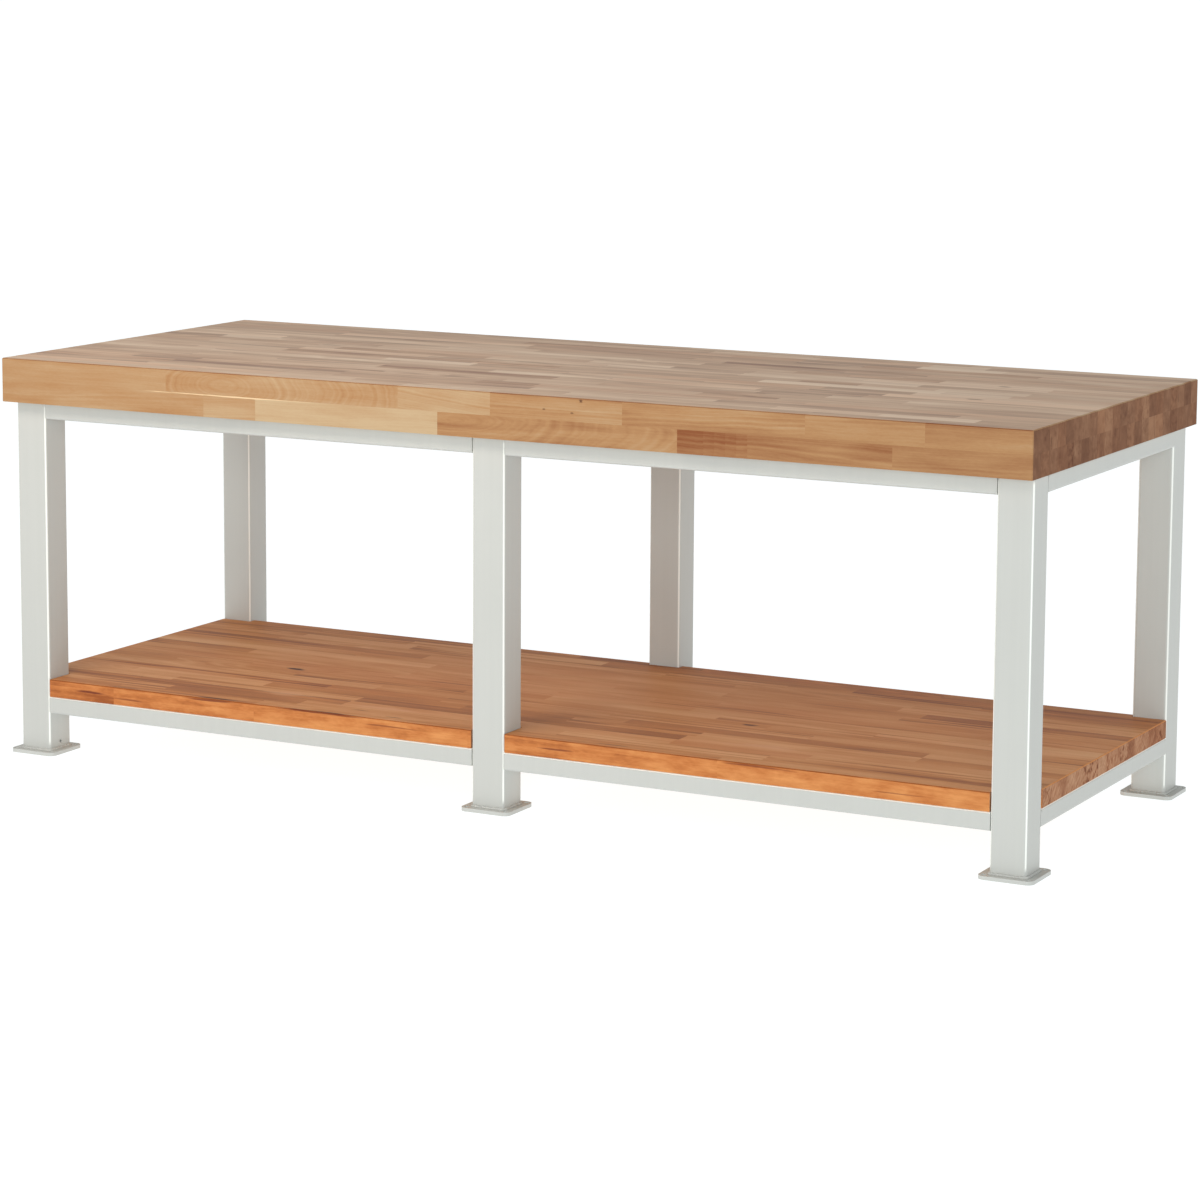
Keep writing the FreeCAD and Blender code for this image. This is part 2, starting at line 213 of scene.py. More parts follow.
def brightness_property(name, description, default):
    """The strength of what the room or the floor gives off."""
    return bpy.props.FloatProperty(name=name, description=description, min=0, default=default)


class TableStaves(bpy.types.PropertyGroup):
    width: length_property("Stave width", "Width of one beech stave", 0.0455)
    worktop_shortest: length_property("Shortest worktop stave", "Shortest stave in the worktop", 0.13)
    worktop_longest: length_property("Longest worktop stave", "Longest stave in the worktop", 0.56)
    shelf_shortest: length_property("Shortest shelf stave", "Shortest stave in the shelf", 0.22)
    shelf_longest: length_property("Longest shelf stave", "Longest stave in the shelf", 0.85)
    ring_width: length_property("Ring width", "Distance between growth rings as drawn", 0.0045)


class TableColours(bpy.types.PropertyGroup):
    coat: colour_property("Powder coat", "Light grey of the steel frame", "#C2C3BE")
    zinc: colour_property("Zinc", "Bright zinc of bolts, washers and screws", "#C6C9CC")
    # the worktop face's colours are lighter and greyer than its edge's: beyond the beech's own tone, a
    # painted sheen
    top_dark: colour_property("Worktop dark", "Darkest staves of the worktop's face", "#A2826F")
    top_middle: colour_property("Worktop middle", "Usual staves of the worktop's face", "#CEAF93")
    top_light: colour_property("Worktop light", "Palest staves of the worktop's face", "#EBD3B9")
    edge_dark: colour_property("Worktop edge dark", "Darkest staves of the worktop's edge", "#844B25")
    edge_middle: colour_property("Worktop edge middle", "Usual staves of the worktop's edge", "#AA7F54")
    edge_light: colour_property("Worktop edge light", "Palest staves of the worktop's edge", "#BCA17D")
    end_dark: colour_property("Worktop end dark", "Darkest end grain of the worktop", "#623F2E")
    end_middle: colour_property("Worktop end middle", "Usual end grain of the worktop", "#825C45")
    end_light: colour_property("Worktop end light", "Palest end grain of the worktop", "#9F785C")
    shelf_dark: colour_property("Shelf dark", "Darkest staves of the shelf's face", "#9C5F36")
    shelf_middle: colour_property("Shelf middle", "Usual staves of the shelf's face", "#CA884F")
    shelf_light: colour_property("Shelf light", "Palest staves of the shelf's face", "#E1AB78")
    shelf_end_dark: colour_property("Shelf end dark", "Darkest end grain of the shelf", "#774A34")
    shelf_end_middle: colour_property("Shelf end middle", "Usual end grain of the shelf", "#A06E50")
    shelf_end_light: colour_property("Shelf end light", "Palest end grain of the shelf", "#C49978")
    shelf_edge_dark: colour_property("Shelf edge dark", "Darkest staves of the shelf's edge", "#99521F")
    shelf_edge_middle: colour_property("Shelf edge middle", "Usual staves of the shelf's edge", "#C07439")
    shelf_edge_light: colour_property("Shelf edge light", "Palest staves of the shelf's edge", "#D58E50")
    floor: colour_property("Floor", "Plain pale floor", "#77777A")


class TableWelds(bpy.types.PropertyGroup):
    width: length_property("Bead width", "How far the weld at the foot reaches over the plate", 0.0042)
    height: length_property("Bead height", "How far the weld at the foot reaches up the leg", 0.0042)
    ripple: length_property("Ripple", "Distance between the weld's ripples", 0.009)


class TableStage(bpy.types.PropertyGroup):
    front_wall: brightness_property("Front wall", "Brightness of the room in front of the table", 0.96)
    back_wall: brightness_property("Back wall", "Brightness of the room behind the table", 0.68)
    ceiling: brightness_property("Ceiling", "Brightness overhead", 0.4)
    overhead: power_property("Overhead light", "Power of the softbox over the table", 16)
    near: power_property("Near light", "Power of the softbox close by the front left", 29)
    key: power_property("Key light", "Power of the large softbox at the front right", 178)
    side: power_property("Side light", "Power of the softbox behind on the right", 14)
    rim: power_property("Rim light", "Power of the narrow softbox on the right", 7)
    floor_glow: brightness_property("Floor glow", "Light given off by the pale floor", 0.93)
    lens: bpy.props.FloatProperty(
        name="Lens", description="Focal length on a sensor 36 mm wide", unit="CAMERA", default=108.793, min=1
    )


class TableLooks(bpy.types.PropertyGroup):
    staves: bpy.props.PointerProperty(type=TableStaves)
    colours: bpy.props.PointerProperty(type=TableColours)
    welds: bpy.props.PointerProperty(type=TableWelds)
    stage: bpy.props.PointerProperty(type=TableStage)


# Materials


def add(tree, kind, inputs=None, **settings):
    """Adds one node with its settings, and sets or links its inputs, which go by name or by place."""
    node = tree.nodes.new(kind)
    for name, value in settings.items():
        setattr(node, name, value)
    for name, value in (inputs or {}).items():
        if isinstance(value, bpy.types.NodeSocket):
            tree.links.new(value, node.inputs[name])
        else:
            node.inputs[name].default_value = value
    return node


def new_material(name):
    """A material whose nodes are still to be added."""
    material = bpy.data.materials.new(name)
    material.use_nodes = True
    material.node_tree.nodes.clear()
    return material


def patterns(tree, place, table):
    """Uneven patterns round 0.5, by name. table holds their cells to the metre on each axis, and detail."""
    found = {}
    for name, (cells, detail) in table.items():
        spread = add(tree, "ShaderNodeVectorMath", {0: place, 1: cells}, operation="MULTIPLY").outputs[0]
        settings = {"Vector": spread, "Scale": 1.0, "Detail": detail}
        found[name] = add(tree, "ShaderNodeTexNoise", settings).outputs["Fac"]
    return found


def summed(tree, start, parts):
    """A tone moved by patterns, each by its own share, and kept in the middle where all of them are."""
    middle = 0.0
    for pattern, share, centre in parts:
        moved = {0: pattern, 1: share, 2: start}
        start = add(tree, "ShaderNodeMath", moved, operation="MULTIPLY_ADD").outputs[0]
        middle += share * centre
    return add(tree, "ShaderNodeMath", {0: start, 1: middle}, operation="SUBTRACT").outputs[0]


def finish_material(material, surface, relief, distance, strength):
    """Gives the surface its relief and joins it to the output."""
    tree = material.node_tree
    bump = add(tree, "ShaderNodeBump", {"Height": relief, "Distance": distance, "Strength": strength})
    tree.links.new(bump.outputs["Normal"], surface.inputs["Normal"])
    add(tree, "ShaderNodeOutputMaterial", {"Surface": surface.outputs["BSDF"]})
    return material


def powder_coat(colour, name="polyester_powder_coat_on_steel", spatter=0.0):
    """Polyester powder, sprayed and baked: an even satin skin whose orange peel softens every reflection."""
    material = new_material(name)
    tree = material.node_tree
    coords = add(tree, "ShaderNodeTexCoord")
    place = coords.outputs["Object"]
    # clouds a hand wide and streaks along the drawn tube, both only a few percent; orange peel in cells of
    # 2 mm, and drops of weld spatter under the coat in cells of 4 mm
    table = {
        "clouds": ((5, 5, 5), 2),
        "streaks": ((90, 90, 1.6), 2),
        "peel": ((500, 500, 500), 1),
        "spatter": ((260, 260, 260), 3),
    }
    found = patterns(tree, place, table)
    # painted highlight: over a rounded corner, where the surface faces between two axes, the base colour is
    # lightened for the bright line of light along it, and the roughness is lowered
    normal = coords.outputs["Normal"]
    facing = add(tree, "ShaderNodeVectorMath", {0: normal}, operation="ABSOLUTE").outputs[0]
    sides = add(tree, "ShaderNodeSeparateXYZ", {0: facing}).outputs
    widest = add(tree, "ShaderNodeMath", {0: sides["X"], 1: sides["Y"]}, operation="MAXIMUM").outputs[0]
    widest = add(tree, "ShaderNodeMath", {0: widest, 1: sides["Z"]}, operation="MAXIMUM").outputs[0]
    painted_highlight_span = {"Value": widest, "From Min": 0.93, "From Max": 0.80, "To Min": 0.0, "To Max": 1.0}
    corner = add(tree, "ShaderNodeMapRange", painted_highlight_span, interpolation_type="SMOOTHSTEP").outputs[0]
    # the painted highlight is left out under the worktop, where its shade falls, on the base plates and on a
    # corner that faces down
    height = add(tree, "ShaderNodeSeparateXYZ", {0: place}).outputs["Z"]
    upward = add(tree, "ShaderNodeSeparateXYZ", {0: normal}).outputs["Z"]
    underside, plate_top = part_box("worktop_lower_layer")[0].z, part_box("base_plate_front_left")[1].z
    worktop = (height, underside - 5 * MM, underside - 15 * MM)
    plates = (height, plate_top + 12 * MM, plate_top + 22 * MM)
    for value, start, end in (worktop, plates, (upward, -0.5, -0.2)):
        beyond = {"Value": value, "From Min": start, "From Max": end}
        share = add(tree, "ShaderNodeMapRange", beyond).outputs[0]
        corner = add(tree, "ShaderNodeMath", {0: corner, 1: share}, operation="MULTIPLY").outputs[0]
    # corner is the painted highlight, lightening the coat by up to 78 percent
    parts = [(found["clouds"], 0.07, 0.5), (found["streaks"], 0.05, 0.5), (corner, 0.78, 0.0)]
    shade = summed(tree, 1.0, parts)
    tinted = add(tree, "ShaderNodeVectorMath", {0: colour, "Scale": shade}, operation="SCALE").outputs[0]
    satin = {"Value": found["clouds"], "To Min": 0.34, "To Max": 0.46}
    rough = add(tree, "ShaderNodeMapRange", satin).outputs[0]
    rough = summed(tree, rough, [(corner, -0.14, 0.0)])
    surface = add(tree, "ShaderNodeBsdfPrincipled", {"Base Color": tinted, "Roughness": rough, "IOR": 1.5})
    if spatter:
        return finish_material(material, surface, found["spatter"], 1.2 * MM, spatter)
    return finish_material(material, surface, found["peel"], 0.03 * MM, 0.5)


def bright_zinc(colour):
    """Electroplated zinc on pressed steel: a cool metal with a fine cloudy spangle and a satin gleam."""
    material = new_material("zinc_plated_steel")
    tree = material.node_tree
    place = add(tree, "ShaderNodeTexCoord").outputs["Object"]
    # spangle in cells of 4.5 mm
    spangle = patterns(tree, place, {"spangle": ((220, 220, 220), 3)})["spangle"]
    shade = add(tree, "ShaderNodeMapRange", {"Value": spangle, "To Min": 0.82, "To Max": 1.06}).outputs[0]
    tinted = add(tree, "ShaderNodeVectorMath", {0: colour, "Scale": shade}, operation="SCALE").outputs[0]
    rough = add(tree, "ShaderNodeMapRange", {"Value": spangle, "To Min": 0.24, "To Max": 0.42}).outputs[0]
    settings = {"Base Color": tinted, "Roughness": rough, "Metallic": 1.0}
    surface = add(tree, "ShaderNodeBsdfPrincipled", settings)
    return finish_material(material, surface, spangle, 0.05 * MM, 0.4)


def marked(tree, place, ragged, colour, marks):
    """Mixes marks into a colour, each group in its own. A mark is its centre, half axes and strength."""
    for hex_colour, group in marks:
        strongest = None
        for centre, half_axes, strength in group:
            offset = add(tree, "ShaderNodeVectorMath", {0: place, 1: centre}, operation="SUBTRACT").outputs[0]
            sized = {0: offset, 1: tuple(1 / half for half in half_axes)}
            scaled = add(tree, "ShaderNodeVectorMath", sized, operation="MULTIPLY").outputs[0]
            distance = add(tree, "ShaderNodeVectorMath", {0: scaled}, operation="LENGTH").outputs["Value"]
            frayed = summed(tree, distance, [(ragged, 2.2, 0.5)])
            inside = {"Value": frayed, "From Min": 1.15, "From Max": 0.45, "To Min": 0.0, "To Max": strength}
            mark = add(tree, "ShaderNodeMapRange", inside, interpolation_type="SMOOTHSTEP").outputs[0]
            if strongest:
                mark = add(tree, "ShaderNodeMath", {0: strongest, 1: mark}, operation="MAXIMUM").outputs[0]
            strongest = mark
        mixed = {0: strongest, 6: colour, 7: rgba(linear(hex_colour))}
        colour = add(tree, "ShaderNodeMix", mixed, data_type="RGBA").outputs[2]
    return colour


def oiled_beech(
    name,
    colours,
    ring_width,
    end_grain=False,
    specks=0.1,
    heart=0.3,
    slant=0.0,
    blotched=0.0,
    differing=1.0,
    marks=(),
):
    """Oiled beech, planed and sanded: warm, close grained and satin, its rings drawn out along each stave.

    Each stave carries its own tone, redness, strength of figure and of dark heartwood, grain offset, pith and
    lean of the pith, so that neighbours differ as they do in a glued board, and the grain goes on round the
    board's arrises. specks is the strength of the ray flecks, heart that of the dark heartwood and blotched
    that of the oil's blotches. slant turns the patterns round the board's length, and differing is how much
    of the staves' difference in tone shows.
    """
    material = new_material(name)
    tree = material.node_tree
    coords = add(tree, "ShaderNodeTexCoord").outputs["Object"]
    stave = {}
    for part in STAVE_NUMBERS + STAVE_VECTORS:
        carried = add(tree, "ShaderNodeAttribute", attribute_name=f"stave_{part}")
        stave[part] = carried.outputs["Fac" if part in STAVE_NUMBERS else "Vector"]
    place = add(tree, "ShaderNodeVectorMath", {0: coords, 1: stave["shift"]}, operation="ADD").outputs[0]
    # Fibres are drawn 4 mm wide and 80 mm long, since the real ones, under 1 mm, are too fine to show. Dark
    # heartwood streaks are 14 mm wide and 450 mm long, clouds 40 mm wide and 250 mm long. The rings wander in
    # waves 310 mm long. Ray flecks are drawn 11 mm long and 3 mm wide. On the end grain the rays are upright
    # strokes 3 mm wide and 20 mm long. Blotches, where the oil soaked in unevenly, are 60 mm long and 20 mm
    # wide.
    table = {
        "wander": ((3.2, 16, 16), 2),
        "clouds": ((4, 26, 26), 2),
        "streaks": ((2.2, 70, 70), 2.5),
        "fibres": ((12, 250, 250), 3),
        "mottle": ((90, 330, 330), 2),
        "rays": ((60, 300, 50), 2),
        "blotches": ((17, 50, 50), 2),
    }
    slanted = {"Vector": place, "Angle": slant}
    place = add(tree, "ShaderNodeVectorRotate", slanted, rotation_type="X_AXIS").outputs[0]
    found = patterns(tree, place, table)
    # growth rings: distance from the leaning pith across the grain, made to wander along the stave
    across = add(tree, "ShaderNodeVectorMath", {0: coords, 1: stave["pith"]}, operation="SUBTRACT").outputs[0]
    along = add(tree, "ShaderNodeSeparateXYZ", {0: across}).outputs["X"]
    leaned = {0: stave["lean"], "Scale": along}
    leaning = add(tree, "ShaderNodeVectorMath", leaned, operation="SCALE").outputs[0]
    flat = add(tree, "ShaderNodeVectorMath", {0: across, 1: (0.0, 1.0, 1.0)}, operation="MULTIPLY").outputs[0]
    flat = add(tree, "ShaderNodeVectorMath", {0: flat, 1: leaning}, operation="SUBTRACT").outputs[0]
    radius = add(tree, "ShaderNodeVectorMath", {0: flat}, operation="LENGTH").outputs["Value"]
    wandering = {0: found["wander"], 1: 20 * MM, 2: radius}
    wavy = add(tree, "ShaderNodeMath", wandering, operation="MULTIPLY_ADD").outputs[0]
    turns = add(tree, "ShaderNodeMath", {0: wavy, 1: 1 / ring_width}, operation="MULTIPLY").outputs[0]
    ring_settings = {"W": turns, "Scale": 1.0, "Detail": 1.5}
    rings = add(tree, "ShaderNodeTexNoise", ring_settings, noise_dimensions="1D").outputs["Fac"]
    ring_part = add(tree, "ShaderNodeMath", {0: rings, 1: 0.5}, operation="SUBTRACT").outputs[0]
    figured = add(tree, "ShaderNodeMath", {0: ring_part, 1: stave["figure"]}, operation="MULTIPLY").outputs[0]
    dark = {"Value": found["streaks"], "From Min": 0.47, "From Max": 0.68, "To Min": 0.0, "To Max": 1.0}
    streaked = add(tree, "ShaderNodeMapRange", dark, interpolation_type="SMOOTHSTEP").outputs[0]
    streaked = add(tree, "ShaderNodeMath", {0: streaked, 1: stave["heart"]}, operation="MULTIPLY").outputs[0]
    if end_grain:
        parts = [
            (figured, 0.10, 0.0),
            (found["rays"], specks, 0.5),
            (found["clouds"], 0.5, 0.5),
            (streaked, -heart, 0.3),
        ]
    else:
        parts = [
            (figured, 0.42, 0.0),
            (found["fibres"], 0.18, 0.5),
            (found["clouds"], 0.75, 0.5),
            (found["mottle"], specks, 0.5),
            (streaked, -heart, 0.3),
        ]
    parts.append((found["blotches"], blotched, 0.5))
    # a stave's tone keeps this share of its distance from the middle tone
    evened = {0: stave["tone"], 1: differing, 2: 0.5 - 0.5 * differing}
    tone = add(tree, "ShaderNodeMath", evened, operation="MULTIPLY_ADD").outputs[0]
    ramp = add(tree, "ShaderNodeValToRGB", {"Fac": summed(tree, tone, parts)})
    stops = ramp.color_ramp.elements
    stops[0].position, stops[0].color = 0.0, rgba(colours[0])
    stops[1].position, stops[1].color = 1.0, rgba(colours[2])
    stops.new(0.5).color = rgba(colours[1])
    plain = ramp.outputs["Color"]
    # heartwood is redder: the same tone with less green and blue
    reddened = {0: plain, 1: (0.92, 0.66, 0.50)}
    redder = add(tree, "ShaderNodeVectorMath", reddened, operation="MULTIPLY").outputs[0]
    colour = add(tree, "ShaderNodeMix", {0: stave["red"], 6: plain, 7: redder}, data_type="RGBA").outputs[2]
    colour = marked(tree, coords, found["fibres"], colour, marks)
    # sawn end grain drinks the oil and stays dull
    dull, dullest, gleam = (0.76, 0.92, 0.12) if end_grain else (0.46, 0.62, 0.3)
    satin = {"Value": found["fibres"], "To Min": dull, "To Max": dullest}
    rough = add(tree, "ShaderNodeMapRange", satin).outputs[0]
    settings = {"Base Color": colour, "Roughness": rough, "IOR": 1.5, "Specular IOR Level": gleam}
    surface = add(tree, "ShaderNodeBsdfPrincipled", settings)
    relief = summed(tree, 0.5, [(found["fibres"], 0.6, 0.5), (found["mottle"], 0.3, 0.5)])
    return finish_material(material, surface, relief, 0.08 * MM, 0.5)


# Boards of glued staves


def stave_rows(low, high, width):
    """Glue lines between the rows of staves, which share a board's width evenly."""
    count = max(round((high - low) / width), 1)
    step = (high - low) / count
    return [low + step * line for line in range(1, count)]


def random_joints(low, high, shortest, longest, draw):
    """End joints of the staves in one row."""
    joints = []
    x = low + draw.uniform(0.2, 1.0) * longest
    while x < high - shortest:
        joints.append(x)
        x += draw.uniform(shortest, longest)
    return joints


def random_stave(draw, spread):
    """What the grain of one stave looks like, its pith given from the middle of the stave."""
    flat_sawn = draw.random() < 0.45
    return {
        "tone": min(max(draw.gauss(0.5, spread), 0.08), 0.95),
        "red": max(draw.gauss(0.03, 0.13), 0.0),
        "figure": draw.uniform(0.9, 1.5) if flat_sawn else draw.uniform(0.15, 0.5),
        "heart": draw.uniform(0.5, 1.6) if draw.random() < 0.45 else draw.uniform(0.0, 0.4),
        "shift": (draw.uniform(-9, 9), draw.uniform(-9, 9), draw.uniform(-9, 9)),
        "pith": (0.0, draw.uniform(-0.02, 0.02), draw.choice((-1, 1)) * draw.uniform(0.03, 0.09)),
        "lean": (0.0, draw.gauss(0, 0.03), draw.gauss(0, 0.03)),
    }


def staves_of_board(node, seed, width, lengths, front_row, spread, heartwood=1.0):
    """Glue lines, and each row's joints and staves. front_row is a row already chosen: (end x, changes)."""
    draw = random.Random(seed)
    low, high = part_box(node)
    lines = stave_rows(low.y, high.y, width)
    layout = []
    for row in range(len(lines) + 1):
        joints = random_joints(low.x, high.x, *lengths, draw)
        chosen = [{} for _ in range(len(joints) + 1)]
        if row == 0:
            joints = [end for end, _ in front_row[:-1]]
            chosen = [changes for _, changes in front_row]
        centre_y = (([low.y] + lines)[row] + (lines + [high.y])[row]) / 2
        centre_z = (low.z + high.z) / 2
        ends = [low.x, *joints, high.x]
        staves = []
        for place, changes in enumerate(chosen):
            stave = {**random_stave(draw, spread), **changes}
            stave["heart"] *= heartwood
            centre_x = (ends[place] + ends[place + 1]) / 2
            along, y, z = stave["pith"]
            stave["pith"] = (centre_x + along, centre_y + y, centre_z + z)
            staves.append(stave)
        layout.append((joints, staves))
    return lines, layout


def cut_along(bm, faces, point, normal):
    """Cuts faces along a plane, and keeps both sides."""
    edges = {edge for face in faces for edge in face.edges}
    verts = {vert for face in faces for vert in face.verts}
    bmesh.ops.bisect_plane(bm, geom=[*faces, *edges, *verts], dist=1e-7, plane_co=point, plane_no=normal)


def glued_board(name, node, lines, layout, materials, slot, arris):
    """Cuts the board's outline along every glue line and end joint, and gives each face its stave's grain.

    materials are those of the broad faces, of the long edges and of the end grain. arris says how much
    lighter than its stave the eased arris is, along the board and across its ends.
    """
    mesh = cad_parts[node].data.copy()
    mesh.name = name
    if "custom_normal" in mesh.attributes:
        mesh.attributes.remove(mesh.attributes["custom_normal"])
    bm = bmesh.new()
    bm.from_mesh(mesh)
    bmesh.ops.remove_doubles(bm, verts=bm.verts, dist=1e-6)
    for y in lines:
        cut_along(bm, list(bm.faces), (0, y, 0), (0, 1, 0))
    for row, (joints, _) in enumerate(layout):
        for x in joints:
            in_row = [face for face in bm.faces if bisect_right(lines, face.calc_center_median().y) == row]
            cut_along(bm, in_row, (x, 0, 0), (1, 0, 0))
    bm.normal_update()
    bm.to_mesh(mesh)
    bm.free()

    mesh.materials.clear()
    for material in materials:
        mesh.materials.append(material)
    # how far a face is turned towards an axis, as a share of its normal
    slightly, mostly, nearly = 0.2, 0.8, 0.95
    found = []
    for polygon in mesh.polygons:
        centre, normal = polygon.center, polygon.normal
        joints, staves = layout[bisect_right(lines, centre.y)]
        stave = staves[bisect_right(joints, centre.x)]
        if slightly < abs(normal.z) < nearly:
            # the eased arris is drawn darker than its stave along the board and lighter than it across the
            # ends
            across_end = abs(normal.x) > slightly
            stave = {**stave, "tone": stave["tone"] + (arris[1] if across_end else arris[0])}
        found.append(stave)
        polygon.material_index = 2 if abs(normal.x) > mostly else 0 if abs(normal.z) > mostly else 1
        polygon.use_smooth = False
    for part in STAVE_NUMBERS:
        attribute = mesh.attributes.new(f"stave_{part}", "FLOAT", "FACE")
        attribute.data.foreach_set("value", [stave[part] for stave in found])
    for part in STAVE_VECTORS:
        attribute = mesh.attributes.new(f"stave_{part}", "FLOAT_VECTOR", "FACE")
        attribute.data.foreach_set("vector", [number for stave in found for number in stave[part]])
    board = bpy.data.objects.new(name, mesh)
    bpy.context.scene.collection.objects.link(board)
    return settle(board, slot, node)


def settle(piece, slot, *nodes):
    """Lets a piece ride with the table in place of its nodes."""
    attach(piece, "root")
    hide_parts(*nodes)
    return piece


# Small solid forms


def mesh_object(name, verts, faces, material, smooth=False):
    """One piece from points and faces, its faces turned outward."""
    mesh = bpy.data.meshes.new(name)
    mesh.from_pydata(verts, [], faces)
    mesh.materials.append(material)
    bm = bmesh.new()
    bm.from_mesh(mesh)
    bmesh.ops.recalc_face_normals(bm, faces=bm.faces)
    bm.to_mesh(mesh)
    bm.free()
    if smooth:
        mesh.shade_smooth()
    piece = bpy.data.objects.new(name, mesh)
    bpy.context.scene.collection.objects.link(piece)
    return piece


def turned(profile, sides, bore=False):
    """Points and faces of a form turned round the z axis. profile is (radius, z) from end to end."""
    verts, faces = [], []
    for radius, z in profile:
        for side in range(sides):
            turn = 2 * math.pi * side / sides
            verts.append(Vector((radius * math.cos(turn), radius * math.sin(turn), z)))
    rings = len(profile)
    for ring in range(rings if bore else rings - 1):
        below, above = ring * sides, (ring + 1) % rings * sides
        for side in range(sides):
            following = (side + 1) % sides
            faces.append((below + side, below + following, above + following, above + side))
    if not bore:
        faces.append(tuple(reversed(range(sides))))
        faces.append(tuple(range((rings - 1) * sides, rings * sides)))
    return verts, faces


def joined(*forms):
    """One list of points and one of faces from several forms."""
    verts, faces = [], []
    for form_verts, form_faces in forms:
        start = len(verts)
        verts += form_verts
        faces += [tuple(start + index for index in face) for face in form_faces]
    return verts, faces


def placed_copies(form, seats):
    """Copies of a form, each moved by its seat's matrix."""
    return joined(*(([seat @ vert for vert in form[0]], form[1]) for seat in seats))


def seat_matrix(point, outward, turn=0.0):
    """Stands the z axis on point along outward."""
    rotation = Vector((0, 0, 1)).rotation_difference(Vector(outward)).to_matrix().to_4x4()
    return Matrix.Translation(point) @ rotation @ Matrix.Rotation(turn, 4, "Z")


def hexagon_head(height, start):
    """A pressed hexagon head from start up: chamfered corners under a flat top."""
    radius, high = HEAD_ACROSS / math.sqrt(3), start + height
    chamfer, slope = 0.7 * MM, 1.4
    profile = [(radius, start), (radius, high - chamfer), (radius - slope * chamfer, high)]
    return turned(profile, sides=6)


def bolt_form():
    """An M8 hexagon bolt on its washer, its z axis out of the rail."""
    face_radius, face_height, depth = 5.8 * MM, 0.4 * MM, 17 * MM
    head_start = WASHER_THICKNESS + face_height
    round_face = turned([(face_radius, WASHER_THICKNESS), (face_radius, head_start)], sides=24)
    head = hexagon_head(HEAD_HEIGHT - face_height, head_start)
    shank = turned([(SHANK_RADIUS, -depth), (SHANK_RADIUS, WASHER_THICKNESS)], sides=20)
    return joined(round_face, head, shank)


def washer_form():
    """A stamped washer with a slightly rounded rim."""
    outer, inner, round_off = 8 * MM, 4.5 * MM, 0.3 * MM
    top, flat = WASHER_THICKNESS, outer - round_off
    rim = [(flat, 0), (outer, round_off), (outer, top - round_off), (flat, top)]
    return turned([(inner, 0), *rim, (inner, top)], sides=32, bore=True)


def screw_form(length):
    """A hexagon wood screw with a collar, its z axis out of the wood. length is that of the whole screw."""
    collar_radius, collar_height, tip_radius, tip = 7.6 * MM, 0.9 * MM, 0.6 * MM, 5 * MM
    bite = length - HEAD_HEIGHT
    shank = turned([(SHANK_RADIUS, 0), (SHANK_RADIUS, -bite + tip), (tip_radius, -bite)], sides=20)
    collar = turned([(collar_radius, 0), (collar_radius, collar_height)], sides=32)
    return joined(collar, hexagon_head(HEAD_HEIGHT - collar_height, collar_height), shank)


def rail_inner_face(level, row, bay):
    """A long rail's ends in x, its middle height, y and direction of its inner face, and top height."""
    low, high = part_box(f"{level}_rail_{row}_{bay}")
    inward = 1 if row == "front" else -1
    return low.x, high.x, (low.z + high.z) / 2, high.y if inward > 0 else low.y, inward, high.z


# One operator for each piece or group of like pieces


class CoatFrame(bpy.types.Operator):
    """Powder coats the legs, rails, base plates, lugs and hidden spigots, and zinc plates the nuts"""

    bl_idname = "assembly_table.coat_frame"
    bl_label = "Coat the frame"

    def execute(self, context):
        colours = context.scene.table_looks.colours
        coat = powder_coat(colours.coat)
        zinc = bright_zinc(colours.zinc)
        for name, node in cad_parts.items():
            material = zinc if name.startswith("rail_nuts") else coat
            for slot in node.material_slots:
                slot.material = material
        return {"FINISHED"}


class GlueWorktop(bpy.types.Operator):
    """Builds the two layers of the worktop from glued beech staves"""

    bl_idname = "assembly_table.glue_worktop"
    bl_label = "Glue the worktop"

    def execute(self, context):
        looks = context.scene.table_looks
        colours, staves = looks.colours, looks.staves
        # the face's colours carry a painted sheen as well as the beech's own tone
        face = oiled_beech(
            "oiled_beech_face",
            (colours.top_dark, colours.top_middle, colours.top_light),
            staves.ring_width,
            heart=0.42,
            marks=[("#7A4E38", TOP_MARKS)],
        )
        edge = oiled_beech(
            "oiled_beech_edge",
            (colours.edge_dark, colours.edge_middle, colours.edge_light),
            staves.ring_width,
            specks=0.16,
            marks=[("#4A2413", EDGE_KNOTS), ("#EBCFA6", EDGE_PALE_LINES)],
        )
        end = oiled_beech(
            "oiled_beech_end_grain",
            (colours.end_dark, colours.end_middle, colours.end_light),
            staves.ring_width,
            end_grain=True,
            specks=0.45,
            heart=0.22,
            blotched=0.5,
            differing=0.95,
            marks=[("#4A2E22", END_CHECKS)],
        )
        lengths = (staves.worktop_shortest, staves.worktop_longest)
        for layer, seed, front_row in (("upper", 11, UPPER_FRONT_ROW), ("lower", 23, LOWER_FRONT_ROW)):
            node = f"worktop_{layer}_layer"
            lines, layout = staves_of_board(node, seed, staves.width, lengths, front_row, spread=0.17)
            name, materials = f"beech_staves_{layer}_layer", (face, edge, end)
            glued_board(name, node, lines, layout, materials, "worktop_beech", (-0.25, 0.1))
        return {"FINISHED"}


